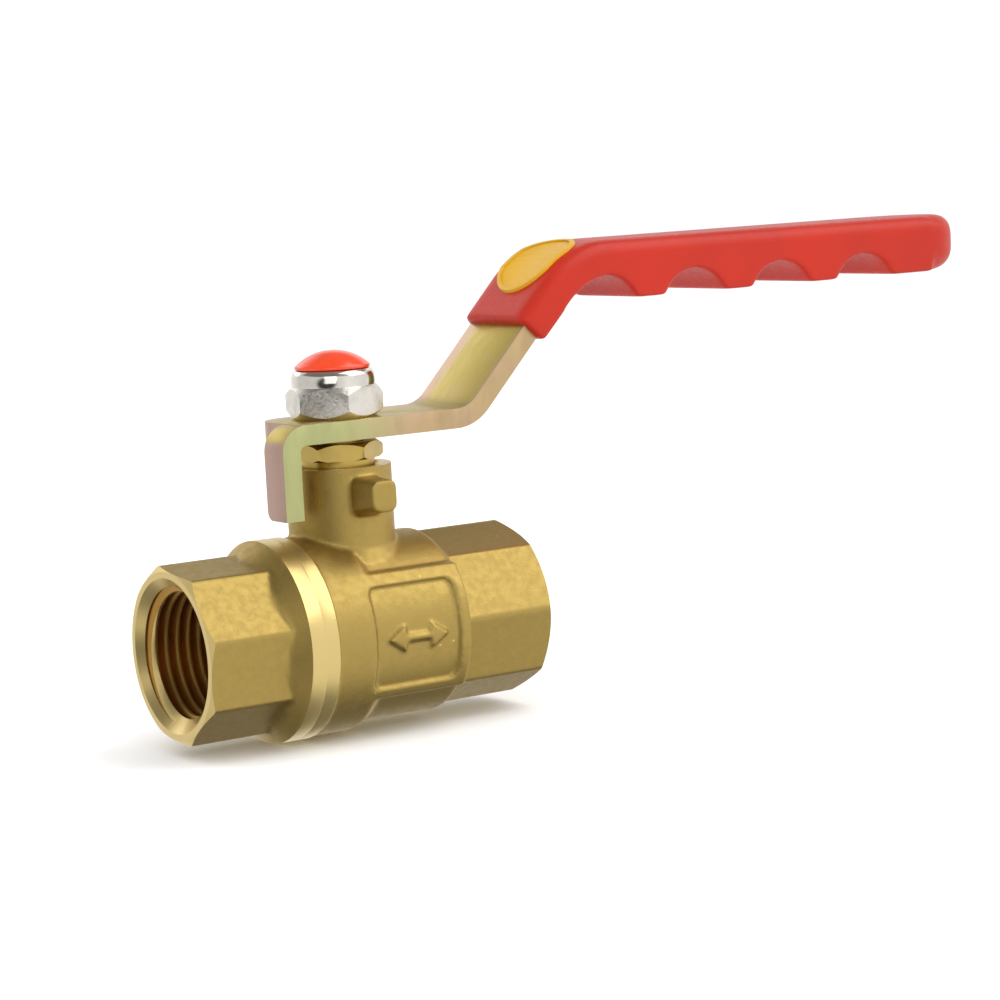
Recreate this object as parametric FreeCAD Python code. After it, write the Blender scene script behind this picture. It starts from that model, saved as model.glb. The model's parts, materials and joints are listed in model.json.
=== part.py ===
import FreeCAD, Part
import math
import os

# Brass ball valve, DN 15, two-piece body with G 1/2 female ends, quarter-turn lever.
# Millimetres. The origin is on the pipe axis where the inlet thread begins, +X runs along
# the pipe to the outlet and to the lever's tip, +Z runs up the stem.

V = FreeCAD.Vector
AXIS_X, AXIS_Y, AXIS_Z = V(1, 0, 0), V(0, 1, 0), V(0, 0, 1)

# ---- pipe ends -------------------------------------------------------------------------
thread_minor_r = 9.3155          # G 1/2 minor radius, the wall of both threaded ports
thread_length = 12.2             # full thread in each port
mouth_r = 11.5                   # countersink at each port's face
mouth_depth = mouth_r - thread_minor_r
waterway_r = 7.5
octagon_flats = 25.0             # across the flats of both ends
cap_turn = -8.0                  # degrees, the end cap's octagon as it came to rest when screwed in
body_turn = -18.0                # degrees, the body's octagon
face_r = 12.45                   # outer edge of the turned face of each end
face_slope = 1.6                 # chamfer outside that edge, radius gained per mm of depth

# ---- lengths along the pipe ------------------------------------------------------------
inlet_length = 30.0              # inlet face to stem axis
outlet_length = 28.8             # stem axis to outlet face

# ---- body ------------------------------------------------------------------------------
band_r = 15.2                    # machined band over the body joint
band_width = 4.6
band_to_stem = 10.1              # band's near edge to the stem axis
shoulder_length = 4.4            # end cap's octagon up to the band
ring_r = 15.0                    # cast ring beside the band
ring_to_stem = 3.0
chamber_outer_r = 14.1
chamber_to_end = 13.2            # stem axis to the end of the round chamber
chamber_r = 12.2
socket_r = 13.2                  # thread that takes the end cap
seal_thickness = 0.6
seal_width = 0.8
seal_to_stem = 6.4               # the seal's near face to the stem axis
spigot_clearance = 0.02

# ---- ball and seats --------------------------------------------------------------------
ball_r = 11.7
port_r = 7.0
ball_gap = 0.25                  # ball to seat
seat_inner_r = 7.2
seat_outer_r = 10.65
seat_contact_r = 9.222           # outer edge of the ball's circle on a seat
seat_near = math.sqrt((ball_r + ball_gap) ** 2 - seat_contact_r ** 2)   # from the stem axis
seat_far = seat_near + 2.6
pocket_clearance = 0.05
slot_width = 4.2
slot_floor = 8.3                 # height of the slot's floor in the ball

# ---- stem ------------------------------------------------------------------------------
stem_r = 4.0
running_clearance = 0.05
tang_width, tang_length = 4.0, 7.6
tang_lift = 0.3                  # tang above the slot's floor
collar_r, collar_bottom, collar_top = 5.5, 12.2, 13.7
collar_clearance = 0.3
washer_thickness = 0.5
washer_gap = 0.1
stem_flats = 6.0                 # across the two flats that drive the lever
stem_top = 38.8
o_ring_section = 1.2             # diameter of the rubber
o_ring_heights = (15.7, 17.6)

# ---- neck and packing ------------------------------------------------------------------
neck_r = 8.0
neck_top = 25.1
neck_foot_r, neck_foot_top = 8.9, 13.6
packing_floor = 18.8
packing_r = 5.6
packing_height = 1.5
follower_height = 1.0
rim_r = 6.7                      # lead-in chamfer at the neck's mouth
packing_fit = 0.03

# ---- gland nut -------------------------------------------------------------------------
gland_flats = 12.0
gland_bottom, gland_top = 26.1, 28.7
gland_turn = 5.0                 # degrees from the front to the nearest corner

# ---- stops on the neck -----------------------------------------------------------------
lug_reach = 13.3
front_lug_width, rear_lug_width = 4.2, 2.6
lug_taper = 1.2                  # how much wider a lug is at its root
lug_bottom, lug_top = 18.9, 23.6
lug_root_bottom, lug_root_top = 17.8, 23.8

# ---- panels on the sides of the chamber ------------------------------------------------
frame_r, panel_r = 15.0, 14.4
frame_x0, frame_x1 = -4.6, 12.8  # from the stem axis
frame_z0, frame_z1 = -8.9, 9.8
panel_x0, panel_x1 = -3.7, 10.9
panel_z0, panel_z1 = -7.4, 8.0

# ---- lever -----------------------------------------------------------------------------
plate = 3.0                      # steel thickness
lever_width = 15.0
hub_bottom = 29.3
hub_corner = 5.5                 # rounded far corner of the hub
hub_back = 10.2                  # stem axis to the hub's end
slope_x = 19.0                   # where the hub's top meets the slope
slope_angle = 46.5
grip_level = 54.4                # top of the steel along the grip
lower_bend, upper_bend = 5.0, 15.0   # radii on the top face
lever_end = 119.0
tab_outer, tab_bottom = 13.5, 18.2
tab_inner_edge = -1.9            # the tab's edge that meets the rear lug
tab_bend = 4.0
ear_x0, ear_x1 = 2.4, 6.4        # the second stop, on the lever's far side
ear_y0 = 8.4

# ---- grip ------------------------------------------------------------------------------
sleeve_top, sleeve_side, sleeve_under = 1.6, 1.3, 0.9
sleeve_start = 30.0              # where the sleeve begins, along X at the steel's top
sleeve_end = lever_end + 2.6      # soft tip beyond the steel
skirt_drop = 3.1                 # finger grooves' depth below the sleeve's underside
tip_top_r, tip_bottom_r = 3.0, 5.0   # side view of the sleeve's tip
scallop_count, scallop_pitch, scallop_first = 4, 17.6, 45.8
scallop_share = 0.8              # part of the pitch that each groove takes
badge_half_length, badge_half_width = 7.0, 6.6
badge_edge = 6.2                 # its near and far sides are cut straight here
badge_tilt = 32.5                # degrees round the upper bend from the grip's level
badge_sunk, badge_proud = 0.8, 0.5

# ---- nut and cap -----------------------------------------------------------------------
nut_flats = 13.0
nut_height = 5.0
nut_turn = -13.4                 # degrees from the front to the nearest corner
nut_chamfer = 0.8                # height of the chamfer at the middle of each flat
nut_collar_r, nut_collar_height = 6.3, 2.4
lock_ring_r, lock_ring_height = 5.2, 1.6
cap_r, cap_rise, cap_rim = 5.7, 2.3, 0.4
cap_wall = 1.0

# ---- worked out from the sizes above ---------------------------------------------------
face_x = -mouth_depth            # inlet face
stem_x = face_x + inlet_length
outlet_x = stem_x + outlet_length
band_x1 = stem_x - band_to_stem
band_x0 = band_x1 - band_width
joint_x = (band_x0 + band_x1) / 2
pocket_r = seat_outer_r + pocket_clearance
seal_x1 = stem_x - seal_to_stem
seal_x0 = seal_x1 - seal_thickness
hub_top = hub_bottom + plate
octagon_r = octagon_flats / 2 / math.cos(math.radians(22.5))
roof = collar_top + washer_thickness + washer_gap


def face_of(points):
    """A flat face bounded by straight edges through the points."""
    return Part.Face(Part.makePolygon(points + [points[0]]))


def turned_x(profile, x=0.0):
    """A solid of revolution about the pipe axis from (x, r) points."""
    points = [V(x + along, 0, r) for along, r in profile]
    return face_of(points).revolve(V(0, 0, 0), AXIS_X, 360)


def turned_z(profile):
    """A solid of revolution about the stem axis from (r, z) points."""
    points = [V(stem_x + r, 0, z) for r, z in profile]
    return face_of(points).revolve(V(stem_x, 0, 0), AXIS_Z, 360)


def disc_x(r, x0, x1):
    return Part.makeCylinder(r, x1 - x0, V(x0, 0, 0), AXIS_X)


def disc_z(r, z0, z1):
    return Part.makeCylinder(r, z1 - z0, V(stem_x, 0, z0), AXIS_Z)


def ring_z(inner, outer, z0, z1):
    return disc_z(outer, z0, z1).cut(disc_z(inner, z0, z1))


def block(x0, x1, y0, y1, z0, z1):
    return Part.makeBox(x1 - x0, y1 - y0, z1 - z0, V(x0, y0, z0))


def octagon_bar(x0, x1, turn):
    """An octagonal bar along the pipe, turned about it from flats at the front and top."""
    corners = []
    for k in range(8):
        a = math.radians(22.5 + 45 * k + turn)
        corners.append(V(x0, -octagon_r * math.cos(a), octagon_r * math.sin(a)))
    return face_of(corners).extrude(V(x1 - x0, 0, 0))


def hex_bar(flats, z0, z1, turn):
    """A hexagonal bar on the stem axis with one corner at turn degrees from the front."""
    r = flats / 2 / math.cos(math.radians(30))
    corners = []
    for k in range(6):
        a = math.radians(turn + 60 * k)
        corners.append(V(stem_x + r * math.sin(a), -r * math.cos(a), z0))
    return face_of(corners).extrude(V(0, 0, z1 - z0))


def end_envelope(x_face, inward, reach):
    """The turned shape that chamfers an octagonal end at its mouth face."""
    full_r = octagon_r + 0.1
    chamfer = (full_r - face_r) / face_slope
    profile = [(0, 0), (0, face_r), (inward * chamfer, full_r), (inward * reach, full_r),
               (inward * reach, 0)]
    return turned_x(profile, x_face)


def port_bore(x_face, inward):
    """Countersink and threaded bore of a port, as a solid to cut away."""
    deep = mouth_depth + thread_length
    profile = [(0, 0), (0, mouth_r), (inward * mouth_depth, thread_minor_r),
               (inward * deep, thread_minor_r), (inward * deep, 0)]
    return turned_x(profile, x_face)


def end_cap():
    """Inlet half: octagon, round shoulder, half of the machined band and the threaded spigot."""
    octagon = octagon_bar(face_x, band_x0 - 0.3, cap_turn)
    octagon = octagon.common(end_envelope(face_x, 1, inlet_length))
    flat_r = octagon_flats / 2
    shoulder = turned_x([(band_x0 - shoulder_length, 0),
                         (band_x0 - shoulder_length, flat_r),
                         (band_x0 - 0.62 * shoulder_length, flat_r + 1.2),
                         (band_x0 - 0.3 * shoulder_length, band_r - 0.35),
                         (band_x0, band_r), (joint_x, band_r),
                         (joint_x, socket_r - spigot_clearance),
                         (seal_x0, socket_r - spigot_clearance), (seal_x0, 0)])
    solid = octagon.fuse(shoulder).removeSplitter()
    thread_end = mouth_depth + thread_length + face_x
    solid = solid.cut(port_bore(face_x, 1))
    solid = solid.cut(disc_x(waterway_r, thread_end - 1, seal_x0 + 1))
    return solid.cut(disc_x(pocket_r, stem_x - seat_far, seal_x0 + 1))


def side_panels(solid):
    """Raised frames with a recessed panel on the front and back of the chamber."""
    flats = block(stem_x + frame_x0, stem_x + frame_x1, -20, 20, frame_z0, frame_z1)
    frames = disc_x(frame_r, stem_x + frame_x0, stem_x + frame_x1).common(flats)
    window = block(stem_x + panel_x0, stem_x + panel_x1, -20, 20, panel_z0, panel_z1)
    skin = disc_x(frame_r + 1, stem_x + panel_x0, stem_x + panel_x1)
    skin = skin.cut(disc_x(panel_r, stem_x + panel_x0, stem_x + panel_x1)).common(window)
    return solid.fuse(frames).cut(skin)


def stop_lug(side):
    """A tapered lug on the neck, side -1 at the front and +1 at the back."""
    def section(y, width, z0, z1):
        half = width / 2
        return Part.makePolygon([V(stem_x - half, y, z0), V(stem_x + half, y, z0),
                                 V(stem_x + half, y, z1), V(stem_x - half, y, z1),
                                 V(stem_x - half, y, z0)])
    width = front_lug_width if side < 0 else rear_lug_width
    root = section(side * (neck_r - 1.5), width + lug_taper, lug_root_bottom, lug_root_top)
    tip = section(side * lug_reach, width, lug_bottom, lug_top)
    return Part.makeLoft([root, tip], True, True)


def valve_body():
    """Outlet half: socket, ball chamber, neck with two stop lugs, octagonal outlet."""
    outer = turned_x([(joint_x, 0), (joint_x, band_r), (band_x1, band_r),
                      (band_x1 + 0.2, ring_r), (stem_x - ring_to_stem, ring_r),
                      (stem_x - ring_to_stem + 1.2, chamber_outer_r),
                      (stem_x + chamber_to_end - 1.0, chamber_outer_r),
                      (stem_x + chamber_to_end, octagon_flats / 2),
                      (stem_x + chamber_to_end, 0)])
    octagon = octagon_bar(stem_x + chamber_to_end - 1.0, outlet_x, body_turn)
    octagon = octagon.common(end_envelope(outlet_x, -1, outlet_length))
    neck = turned_z([(0, 0), (neck_foot_r, 0), (neck_foot_r, neck_foot_top - 2.6),
                     (neck_r + 0.35, neck_foot_top - 1.0), (neck_r, neck_foot_top),
                     (neck_r, neck_top - 0.3), (neck_r - 0.3, neck_top), (0, neck_top)])
    solid = outer.fuse([octagon, neck, stop_lug(-1), stop_lug(1)])
    solid = side_panels(solid)

    chamber_end = stem_x + seat_near - 0.4
    outlet_seat = stem_x + seat_far
    thread_end = outlet_x - mouth_depth - thread_length
    bores = [disc_x(socket_r, joint_x - 1, seal_x1),
             disc_x(chamber_r, seal_x1 - 0.5, chamber_end),
             disc_x(pocket_r, chamber_end - 0.5, outlet_seat),
             disc_x(waterway_r, outlet_seat - 0.5, thread_end + 1),
             port_bore(outlet_x, -1),
             disc_z(collar_r + collar_clearance, 0, roof),
             disc_z(stem_r + running_clearance, 0, neck_top + 1),
             turned_z([(0, packing_floor), (packing_r, packing_floor),
                       (packing_r, neck_top - (rim_r - packing_r)),
                       (rim_r, neck_top), (rim_r, neck_top + 1), (0, neck_top + 1)])]
    for bore in bores:
        solid = solid.cut(bore)
    return solid.removeSplitter()


def joint_seal():
    """Flat ring squeezed between the end cap's spigot and the body."""
    outer = disc_x(socket_r - spigot_clearance, seal_x0, seal_x1)
    return outer.cut(disc_x(socket_r - seal_width, seal_x0, seal_x1))


def seat_ring(side):
    """A seat with a spherical face for the ball, side -1 at the inlet and +1 at the outlet."""
    x0, x1 = sorted((stem_x + side * seat_near, stem_x + side * seat_far))
    ring = disc_x(seat_outer_r, x0, x1).cut(disc_x(seat_inner_r, x0, x1))
    return ring.cut(Part.makeSphere(ball_r + ball_gap, V(stem_x, 0, 0)))


def ball():
    """Ball with a round port along the pipe and a slot across it for the stem's tang."""
    solid = Part.makeSphere(ball_r, V(stem_x, 0, 0))
    solid = solid.cut(disc_x(port_r, stem_x - 2 * ball_r, stem_x + 2 * ball_r))
    half = slot_width / 2
    return solid.cut(block(stem_x - half, stem_x + half, -ball_r, ball_r, slot_floor, 2 * ball_r))


def o_ring_groove(z):
    half = o_ring_section / 2
    return ring_z(stem_r + running_clearance - o_ring_section, stem_r + 1, z - half, z + half)


def stem():
    """Blow-out-proof stem: tang, collar, sealed shank and two flats up to the thread's end."""
    half_w, half_l = tang_width / 2, tang_length / 2
    tang = block(stem_x - half_w, stem_x + half_w, -half_l, half_l,
                 slot_floor + tang_lift, collar_bottom)
    shank = turned_z([(0, collar_bottom), (collar_r - 0.4, collar_bottom),
                      (collar_r, collar_bottom + 0.4), (collar_r, collar_top),
                      (stem_r, collar_top), (stem_r, stem_top - 0.8),
                      (stem_r - 0.8, stem_top), (0, stem_top)])
    for z in o_ring_heights:
        shank = shank.cut(o_ring_groove(z))
    flats = stem_flats / 2
    for y0, y1 in ((-2 * stem_r, -flats), (flats, 2 * stem_r)):
        shank = shank.cut(block(stem_x - 10, stem_x + 10, y0, y1, hub_bottom, stem_top + 1))
    return tang.fuse(shank).removeSplitter()


def o_ring(z):
    """Rubber ring in a stem groove."""
    section = o_ring_section / 2
    return Part.makeTorus(stem_r + running_clearance - section - 0.02, section - 0.02,
                          V(stem_x, 0, z), AXIS_Z)


def packing_ring(index):
    z0 = packing_floor + index * packing_height
    return ring_z(stem_r + running_clearance, packing_r - packing_fit, z0, z0 + packing_height)


def packing_follower():
    z0 = packing_floor + 2 * packing_height
    return ring_z(stem_r + running_clearance, packing_r - packing_fit, z0, z0 + follower_height)


def gland_nut():
    """Hexagonal gland nut that screws into the neck and presses on the packing."""
    chamfered = turned_z([(0, gland_bottom), (gland_flats / 2 + 0.4, gland_bottom),
                          (gland_flats / 2 + 1.0, gland_bottom + 0.35),
                          (gland_flats / 2 + 1.0, gland_top - 0.7),
                          (gland_flats / 2 - 0.2, gland_top), (0, gland_top)])
    head = hex_bar(gland_flats, gland_bottom, gland_top, gland_turn).common(chamfered)
    shank = disc_z(packing_r - packing_fit,
                   packing_floor + 2 * packing_height + follower_height, gland_bottom)
    bore = disc_z(stem_r + running_clearance, packing_floor, gland_top + 1)
    return head.fuse(shank).cut(bore).removeSplitter()


def lever_path(offset):
    """Corner points of the lever's side profile, offset down from its top face."""
    a = math.radians(slope_angle)
    shift = offset * math.tan(a / 2)
    top_x = slope_x + (grip_level - hub_top) / math.tan(a)
    return [(stem_x - hub_back, hub_top - offset), (stem_x + slope_x + shift, hub_top - offset),
            (stem_x + top_x + shift, grip_level - offset), (stem_x + lever_end, grip_level - offset)]


def bent_edges(path, radii, y):
    """Edges of a path at depth y, straight runs joined by tangent arcs at the inner points."""
    points = [V(x, y, z) for x, z in path]
    edges, start = [], points[0]
    for i, radius in enumerate(radii, 1):
        before = (points[i] - points[i - 1]).normalize()
        after = (points[i + 1] - points[i]).normalize()
        cut = radius * math.tan(before.getAngle(after) / 2)
        first, last = points[i] - before * cut, points[i] + after * cut
        chord_mid = (first + last) * 0.5
        inward = (chord_mid - points[i]).normalize()
        centre = points[i] + inward * math.hypot(radius, cut)
        middle = centre - inward * radius
        edges += [Part.LineSegment(start, first).toShape(),
                  Part.Arc(first, middle, last).toShape()]
        start = last
    return edges + [Part.LineSegment(start, points[-1]).toShape()]


def strip(top, bottom, half_width):
    """The lever's bent strip between two depths below its top face."""
    y = -half_width
    upper = bent_edges(lever_path(top), (lower_bend + top, upper_bend - top), y)
    lower = bent_edges(lever_path(bottom), (lower_bend + bottom, upper_bend - bottom), y)
    ends = [(upper[0].Vertexes[0].Point, lower[0].Vertexes[0].Point),
            (upper[-1].Vertexes[-1].Point, lower[-1].Vertexes[-1].Point)]
    sides = [Part.LineSegment(a, b).toShape() for a, b in ends]
    wire = Part.Wire(Part.__sortEdges__(upper + lower + sides))
    return Part.Face(wire).extrude(V(0, 2 * half_width, 0))


def rounded_end(x_tip, half_width, z0, z1, start_x):
    """Plan shape with a rounded tip: a column over the whole grip from start_x to x_tip."""
    r = half_width - 0.6
    straight = block(start_x, x_tip - r, -half_width, half_width, z0, z1)
    core = block(x_tip - r, x_tip, -0.6, 0.6, z0, z1)
    corners = [Part.makeCylinder(r, z1 - z0, V(x_tip - r, y, z0), AXIS_Z) for y in (-0.6, 0.6)]
    return straight.fuse([core] + corners)


def lever():
    """Steel lever: hub on the stem's flats, stop tab and ear bent down, bent-up handle."""
    half = lever_width / 2
    bar = strip(0, plate, half)
    bar = bar.common(rounded_end(stem_x + lever_end, half, 0, 100, stem_x - 40))
    corner_cut = block(stem_x - hub_back, stem_x - hub_back + hub_corner, half - hub_corner, half,
                       0, hub_top + 1)
    corner_cut = corner_cut.cut(Part.makeCylinder(
        hub_corner, hub_top + 1, V(stem_x - hub_back + hub_corner, half - hub_corner, 0)))
    bar = bar.cut(corner_cut)

    width = tab_inner_edge + half
    y0 = -half
    outer_x = stem_x - tab_outer
    flange = block(outer_x, stem_x - hub_back + 0.5, y0, y0 + width, hub_top - tab_bend, hub_top)
    outside = Part.makeCylinder(tab_bend, width, V(outer_x + tab_bend, y0, hub_top - tab_bend), AXIS_Y)
    keep = outside.fuse(block(outer_x + tab_bend, stem_x, y0, y0 + width, hub_top - tab_bend, hub_top))
    hollow_r = tab_bend - plate
    hollow = Part.makeCylinder(hollow_r, width, V(outer_x + tab_bend, y0, hub_top - tab_bend), AXIS_Y)
    under = block(outer_x + tab_bend, stem_x, y0, y0 + width, hub_top - tab_bend - 1, hub_bottom)
    bend = flange.common(keep).cut(hollow).cut(under)
    tab = block(outer_x, outer_x + plate, y0, y0 + width, tab_bottom, hub_top - tab_bend)

    ear_y1 = ear_y0 + plate
    ear_top = block(stem_x + ear_x0, stem_x + ear_x1, half - 0.5, ear_y1, hub_bottom, hub_top)
    ear = block(stem_x + ear_x0, stem_x + ear_x1, ear_y0, ear_y1, lug_bottom + 0.6, hub_bottom)
    solid = bar.fuse([bend, tab, ear_top, ear])

    hole = disc_z(stem_r + 0.02, hub_bottom - 1, hub_top + 1)
    flats = stem_flats / 2 + 0.02
    hole = hole.common(block(stem_x - 10, stem_x + 10, -flats, flats, 0, 100))
    return solid.cut(hole).removeSplitter()


def scallops():
    """Finger grooves across the sleeve's underside, as solids to cut away."""
    floor = grip_level - plate - sleeve_under
    half = scallop_pitch * scallop_share / 2
    radius = (half * half + skirt_drop * skirt_drop) / (2 * skirt_drop)
    grooves = []
    for k in range(scallop_count):
        x = stem_x + scallop_first + k * scallop_pitch
        grooves.append(Part.makeCylinder(radius, 40, V(x, -20, floor - radius), AXIS_Y))
    return grooves


def rounded_tip(z0, z1):
    """Side outline of the sleeve with its rounded tip, as a solid to keep."""
    end_x, y = stem_x + sleeve_end, 20
    keep = block(stem_x, end_x - tip_bottom_r, -y, y, 0, 100)
    keep = keep.fuse(block(stem_x, end_x, -y, y, z0 + tip_bottom_r, z1 - tip_top_r))
    keep = keep.fuse(block(stem_x, end_x - tip_top_r, -y, y, z0 + tip_bottom_r, 100))
    low = Part.makeCylinder(tip_bottom_r, 2 * y, V(end_x - tip_bottom_r, -y, z0 + tip_bottom_r), AXIS_Y)
    high = Part.makeCylinder(tip_top_r, 2 * y, V(end_x - tip_top_r, -y, z1 - tip_top_r), AXIS_Y)
    return keep.fuse([low, high])


def lever_grip():
    """Soft sleeve over the handle, with finger grooves across its underside."""
    half = lever_width / 2 + sleeve_side
    floor = grip_level - plate - sleeve_under
    top = grip_level + sleeve_top
    outer = strip(-sleeve_top, plate + sleeve_under, half)
    tip = block(stem_x + lever_end - 1, stem_x + sleeve_end, -half, half, floor, top)
    a = math.radians(slope_angle)
    top_x = slope_x + (grip_level - hub_top) / math.tan(a)
    skirt = block(stem_x + top_x + 1.6, stem_x + sleeve_end, -half, half, floor - skirt_drop, floor)
    solid = outer.fuse([tip, skirt])
    for groove in scallops():
        solid = solid.cut(groove)
    solid = solid.common(rounded_tip(floor - skirt_drop, top))

    start = V(stem_x + sleeve_start, 0, hub_top + (sleeve_start - slope_x) * math.tan(a))
    cutter = Part.makeBox(80, 60, 120, V(-80, -30, -60))
    cutter.rotate(V(0, 0, 0), AXIS_Y, -slope_angle)
    cutter.translate(start)
    solid = solid.cut(cutter)
    solid = solid.common(rounded_end(stem_x + sleeve_end, half, 0, 100, stem_x))
    steel = strip(0, plate, lever_width / 2)
    steel = steel.common(rounded_end(stem_x + lever_end, lever_width / 2, 0, 100, stem_x - 40))
    return solid.cut(steel).cut(grip_badge()).removeSplitter()


def grip_badge():
    """Oval badge let into the top of the sleeve, over the upper bend."""
    a, tilt = math.radians(slope_angle), math.radians(badge_tilt)
    top_x = slope_x + (grip_level - hub_top) / math.tan(a)
    bend_x = stem_x + top_x + upper_bend * math.tan(a / 2)
    centre = V(bend_x - upper_bend * math.sin(tilt), 0, grip_level - upper_bend * (1 - math.cos(tilt)))
    ellipse = Part.Ellipse(V(0, 0, 0), badge_half_length, badge_half_width)
    column = Part.Face(Part.Wire(ellipse.toShape())).extrude(V(0, 0, 20))
    column.translate(V(0, 0, -10))
    column.rotate(V(0, 0, 0), AXIS_Y, -badge_tilt)
    column.translate(centre)
    layer = strip(-sleeve_top - badge_proud, -sleeve_top + badge_sunk, badge_edge)
    return column.common(layer)


def handle_nut():
    """Locking nut: hexagon, round collar that holds the nylon ring."""
    z0, z1 = hub_top, hub_top + nut_height
    corner_r = nut_flats / 2 / math.cos(math.radians(30))
    flat_r = nut_flats / 2
    chamfered = turned_z([(0, z0), (2 * flat_r - corner_r, z0), (corner_r, z0 + 2 * nut_chamfer),
                          (corner_r, z1 - 2 * nut_chamfer), (2 * flat_r - corner_r, z1), (0, z1)])
    body = hex_bar(nut_flats, z0, z1, nut_turn).common(chamfered)
    top = z1 + nut_collar_height
    collar = turned_z([(0, z1 - 0.5), (nut_collar_r, z1 - 0.5), (nut_collar_r, top - 0.9),
                       (nut_collar_r - 0.9, top), (0, top)])
    bore = disc_z(stem_r + 0.02, z0 - 1, top + 1)
    ring_seat = disc_z(lock_ring_r, z1, top + 1)
    return body.fuse(collar).cut(bore).cut(ring_seat).removeSplitter()


def nut_lock_ring():
    z0 = hub_top + nut_height
    return ring_z(stem_r + 0.02, lock_ring_r, z0, z0 + lock_ring_height)


def nut_cap():
    """Domed cap pressed into the nut's collar."""
    rim_z = hub_top + nut_height + nut_collar_height
    dome_z = rim_z + cap_rim
    dome_r = (cap_r ** 2 + cap_rise ** 2) / (2 * cap_rise)
    ball_part = Part.makeSphere(dome_r, V(stem_x, 0, dome_z + cap_rise - dome_r))
    dome = ball_part.common(disc_z(cap_r, dome_z, dome_z + cap_rise + 1))
    plug_z = hub_top + nut_height + lock_ring_height
    solid = dome.fuse([disc_z(cap_r, rim_z, dome_z), disc_z(lock_ring_r, plug_z, rim_z)])
    hollow = disc_z(lock_ring_r - cap_wall, plug_z - 1, dome_z + cap_rise - 2 * cap_wall)
    return solid.cut(hollow).removeSplitter()


NODES = {
    "valve_body": valve_body,
    "end_cap": end_cap,
    "joint_seal": joint_seal,
    "inlet_seat": lambda: seat_ring(-1),
    "outlet_seat": lambda: seat_ring(1),
    "ball": ball,
    "stem": stem,
    "thrust_washer": lambda: ring_z(stem_r, collar_r, collar_top, collar_top + washer_thickness),
    "lower_o_ring": lambda: o_ring(o_ring_heights[0]),
    "upper_o_ring": lambda: o_ring(o_ring_heights[1]),
    "lower_packing_ring": lambda: packing_ring(0),
    "upper_packing_ring": lambda: packing_ring(1),
    "packing_follower": packing_follower,
    "gland_nut": gland_nut,
    "lever": lever,
    "lever_grip": lever_grip,
    "grip_badge": grip_badge,
    "handle_nut": handle_nut,
    "nut_lock_ring": nut_lock_ring,
    "nut_cap": nut_cap,
}

os.makedirs("parts", exist_ok=True)
for node, make in NODES.items():
    shape = make()
    solids = shape.Solids
    print(node, len(solids), "solid(s)", round(shape.Volume, 2), "mm3", shape.isValid())
    shape = solids[0] if len(solids) == 1 else shape
    shape.exportStep("parts/%s.step" % node)
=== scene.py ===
import json
import math

import bmesh
import bpy
from mathutils import Matrix, Vector


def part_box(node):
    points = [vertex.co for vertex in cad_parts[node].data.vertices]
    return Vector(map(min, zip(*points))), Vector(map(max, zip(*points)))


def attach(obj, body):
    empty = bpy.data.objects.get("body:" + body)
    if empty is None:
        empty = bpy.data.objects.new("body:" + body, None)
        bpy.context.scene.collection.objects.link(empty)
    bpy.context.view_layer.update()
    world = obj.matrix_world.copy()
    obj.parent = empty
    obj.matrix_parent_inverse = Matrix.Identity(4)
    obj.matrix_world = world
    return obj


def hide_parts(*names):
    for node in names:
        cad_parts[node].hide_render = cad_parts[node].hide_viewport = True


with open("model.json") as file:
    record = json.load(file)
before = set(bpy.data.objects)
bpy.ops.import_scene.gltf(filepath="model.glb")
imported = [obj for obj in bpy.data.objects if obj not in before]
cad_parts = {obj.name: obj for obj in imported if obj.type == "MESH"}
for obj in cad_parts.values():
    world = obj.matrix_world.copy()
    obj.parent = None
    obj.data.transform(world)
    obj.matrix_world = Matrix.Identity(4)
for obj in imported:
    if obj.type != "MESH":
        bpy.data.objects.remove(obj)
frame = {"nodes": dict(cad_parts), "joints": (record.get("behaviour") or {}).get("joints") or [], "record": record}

bl_info = {
    "name": "Brass Ball Valve",
    "version": (1, 0, 0),
    "blender": (4, 5, 0),
    "location": "3D View > Sidebar > Ball Valve",
    "description": "Builds the visible pieces of a lever-operated brass ball valve "
                   "round its packed frame",
    "category": "Object",
}

# Modelling is in millimetres in the frame's own axes, and each mesh is brought to metres at the end.
MM = 0.001
AXIS_X, AXIS_Y, AXIS_Z = Vector((1, 0, 0)), Vector((0, 1, 0)), Vector((0, 0, 1))


def corner_mm(node, end):
    """The lowest (0) or highest (1) corner of a node's box, in millimetres."""
    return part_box(node)[end] / MM


# ---- read from the frame ---------------------------------------------------------------
HANDLE_JOINT = next(j for j in frame["joints"] if j["name"] == "handle_turn")
STEM_X = HANDLE_JOINT["pos_m"][0] / MM
STEM = Vector((STEM_X, 0, 0))
INLET_X = corner_mm("end_cap", 0).x
OUTLET_X = corner_mm("valve_body", 1).x
SEAM_X = corner_mm("valve_body", 0).x
BAND_R = corner_mm("end_cap", 1).z
PORT_R = frame["record"]["mounts"][0]["dims"]["r_mm"]
THREAD_LENGTH = frame["record"]["mounts"][0]["dims"]["length_mm"]
MOUTH_DEPTH = -INLET_X
MOUTH_R = PORT_R + MOUTH_DEPTH
NECK_TOP = 25.1
GLAND_TURN, NUT_TURN = 5.0, -13.4
HUB_TOP = corner_mm("handle_nut", 0).z
GLAND_TOP = corner_mm("gland_nut", 1).z
LOWEST = corner_mm("valve_body", 0).z

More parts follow.
